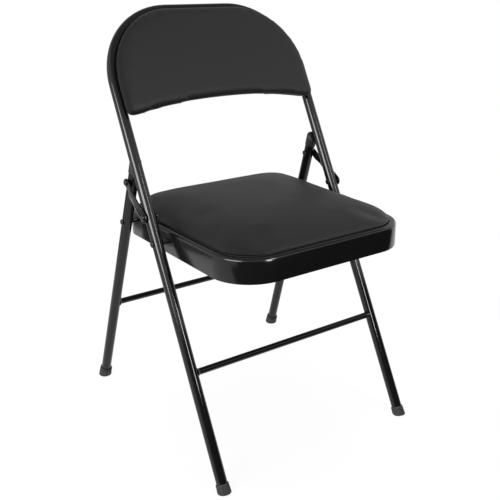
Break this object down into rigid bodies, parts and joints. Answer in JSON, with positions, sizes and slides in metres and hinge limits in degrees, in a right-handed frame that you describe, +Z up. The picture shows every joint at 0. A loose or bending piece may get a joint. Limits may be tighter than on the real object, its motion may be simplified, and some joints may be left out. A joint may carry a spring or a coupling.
{
  "type": "folding chair",
  "caption": "Black steel folding chair with a vinyl padded seat in a pressed steel pan, a padded back in a bent tube loop, and rear legs that fold flat.",
  "frame": {"origin": "the point on the floor under the middle of the unfolded chair", "axes": "+X to the right as seen from the front, -Y the way the sitter faces, +Z up"},
  "size_m": [0.48, 0.4872, 0.7718],
  "materials": {
    "black_paint": "gloss",
    "black_vinyl": "satin",
    "board": "matte",
    "foot_rubber": "matte",
    "cap_plastic": "satin",
    "rivet_steel": "satin"
  },
  "bodies": {
    "front_frame": {"frame_tube": "black_paint", "front_crossbar": "black_paint", "front_foot_cap_left": "foot_rubber", "front_foot_cap_right": "foot_rubber", "back_board": "board", "back_cushion": "black_vinyl", "back_tabs": "black_paint", "back_screws": "rivet_steel", "seat_pivot_rivets": "rivet_steel", "brace_pivot_rivets": "rivet_steel", "brace_pivot_washers": "rivet_steel"},
    "seat": {"seat_pan": "black_paint", "seat_board": "board", "seat_cushion": "black_vinyl", "seat_screws": "rivet_steel", "seat_pivot_bushes": "cap_plastic", "leg_pivot_studs": "rivet_steel"},
    "left_brace": {"brace_left": "black_paint"},
    "right_brace": {"brace_right": "black_paint"},
    "rear_legs": {"rear_leg_left": "black_paint", "rear_leg_right": "black_paint", "rear_crossbar": "black_paint", "rear_foot_cap_left": "foot_rubber", "rear_foot_cap_right": "foot_rubber", "rear_leg_cap_left": "cap_plastic", "rear_leg_cap_right": "cap_plastic", "leg_pivot_rivets": "rivet_steel", "brace_top_rivets": "rivet_steel", "brace_top_washers": "rivet_steel"}
  },
  "joints": [
    {"name": "seat_fold", "type": "hinge", "parent": "front_frame", "child": "seat", "pos_m": [0, -0.01341, 0.38561], "axis": [-1, 0, 0], "range_deg": [0, 103]},
    {"name": "left_brace_fold", "type": "hinge", "parent": "front_frame", "child": "left_brace", "pos_m": [0, 0.01036, 0.42789], "axis": [-1, 0, 0], "range_deg": [0, 125.5]},
    {"name": "right_brace_fold", "type": "hinge", "parent": "front_frame", "child": "right_brace", "pos_m": [0, 0.01036, 0.42789], "axis": [-1, 0, 0], "range_deg": [0, 125.5]},
    {"name": "rear_leg_fold", "type": "hinge", "parent": "left_brace", "child": "rear_legs", "pos_m": [0, 0.08315, 0.4739], "axis": [1, 0, 0], "range_deg": [0, 79.4]}
  ],
  "couplings": [
    {"joint": "left_brace_fold", "follows": "seat_fold", "ratio": 1.2173},
    {"joint": "right_brace_fold", "follows": "seat_fold", "ratio": 1.2173},
    {"joint": "rear_leg_fold", "follows": "seat_fold", "ratio": 0.76947}
  ]
}
